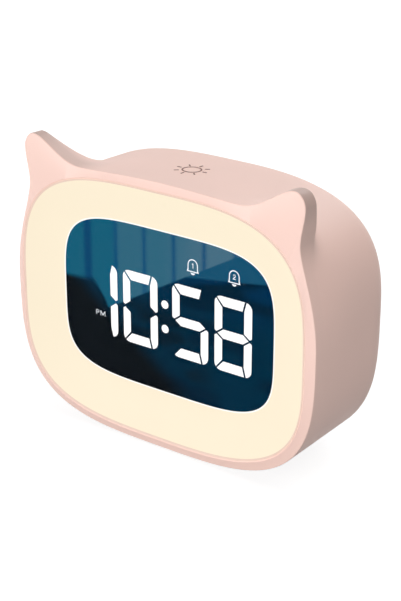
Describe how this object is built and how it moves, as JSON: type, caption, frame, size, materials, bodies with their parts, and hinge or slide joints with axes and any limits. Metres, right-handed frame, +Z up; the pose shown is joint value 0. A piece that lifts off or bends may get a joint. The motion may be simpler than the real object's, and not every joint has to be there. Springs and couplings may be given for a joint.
{
  "type": "kids alarm clock with night light",
  "caption": "Bedside alarm clock with a rounded cat-eared case, dark digit display inside a glowing dished night-light panel, touch mark on top, rear keys, speaker and battery door.",
  "frame": {"origin": "middle of the footprint on the surface that the clock stands on", "axes": "+Z up, +Y from the display to the rear keys, +X to the right as the display is read"},
  "size_m": [0.1374, 0.0546, 0.1143],
  "materials": {
    "case_plastic": "fine satin",
    "cream_diffuser": "translucent satin, lit from behind",
    "smoked_lens": "polished, smoked and clear",
    "black_tape": "double-sided foam tape",
    "navy_film": "printed film",
    "lit_white": "glowing diffuser resin",
    "unlit_resin": "smoked diffuser resin",
    "white_ink": "translucent print, lit from behind",
    "black_plastic": "moulded",
    "tinned_metal": "bright tin plate",
    "white_plastic": "moulded reflector",
    "led_resin": "white package with yellow resin",
    "board": "solder mask on glass-fibre laminate",
    "chip_resin": "moulded resin",
    "can_sleeve": "shrink sleeve",
    "nylon": "natural nylon",
    "screw_steel": "zinc plated",
    "copper_foil": "copper foil",
    "lead_red": "soft insulation",
    "mark_ink": "printed line",
    "key_plastic": "fine satin",
    "speaker_steel": "black zinc",
    "speaker_paper": "pressed paper",
    "lead_pair": "soft insulation, red and black",
    "cell_label": "plain foil sleeve",
    "ribbon": "flat cable",
    "foot_rubber": "soft"
  },
  "bodies": {
    "clock": {"case_shell": "case_plastic", "light_panel": "cream_diffuser", "display_lens": "smoked_lens", "lens_tape": "black_tape", "display_film": "navy_film", "lit_segments": "lit_white", "unlit_segments": "unlit_resin", "colon_dots": "lit_white", "alarm_1_icon": "white_ink", "alarm_2_icon": "white_ink", "pm_mark": "white_ink", "display_block": "black_plastic", "display_pins": "tinned_metal", "light_tray": "white_plastic", "night_light_leds": "led_resin", "main_board": "board", "clock_chip": "chip_resin", "crystal": "tinned_metal", "buffer_capacitor": "can_sleeve", "lead_sockets": "nylon", "board_screws": "screw_steel", "touch_plate": "copper_foil", "touch_lead": "lead_red", "sun_mark": "mark_ink", "rear_cover": "case_plastic", "cover_screws": "screw_steel", "key_board": "board", "key_board_screws": "screw_steel", "switch_bodies": "black_plastic", "power_socket": "tinned_metal", "speaker_frame": "speaker_steel", "speaker_cone": "speaker_paper", "speaker_magnet": "speaker_steel", "speaker_leads": "lead_pair", "battery_cells": "cell_label", "battery_springs": "tinned_metal", "battery_contacts": "tinned_metal", "battery_leads": "lead_pair", "board_ribbon": "ribbon", "rubber_feet": "foot_rubber"},
    "set_button": {"set_key": "key_plastic", "set_stem": "black_plastic"},
    "alarm_1_button": {"alarm_1_key": "key_plastic", "alarm_1_stem": "black_plastic"},
    "alarm_2_button": {"alarm_2_key": "key_plastic", "alarm_2_stem": "black_plastic"},
    "minus_button": {"minus_key": "key_plastic", "minus_stem": "black_plastic"},
    "plus_button": {"plus_key": "key_plastic", "plus_stem": "black_plastic"},
    "battery_door": {"battery_door": "case_plastic"}
  },
  "joints": [
    {"name": "set_press", "type": "slide", "parent": "clock", "child": "set_button", "axis": [0, -1, 0], "range_m": [0, 0.0004], "stiffness_N_per_m": 1000},
    {"name": "alarm_1_press", "type": "slide", "parent": "clock", "child": "alarm_1_button", "axis": [0, -1, 0], "range_m": [0, 0.0004], "stiffness_N_per_m": 1000},
    {"name": "alarm_2_press", "type": "slide", "parent": "clock", "child": "alarm_2_button", "axis": [0, -1, 0], "range_m": [0, 0.0004], "stiffness_N_per_m": 1000},
    {"name": "minus_press", "type": "slide", "parent": "clock", "child": "minus_button", "axis": [0, -1, 0], "range_m": [0, 0.0004], "stiffness_N_per_m": 1000},
    {"name": "plus_press", "type": "slide", "parent": "clock", "child": "plus_button", "axis": [0, -1, 0], "range_m": [0, 0.0004], "stiffness_N_per_m": 1000},
    {"name": "battery_door_hinge", "type": "hinge", "parent": "clock", "child": "battery_door", "pos_m": [0.0127, 0.02615, 0.025], "axis": [-1, 0, 0], "range_deg": [0, 70]}
  ]
}
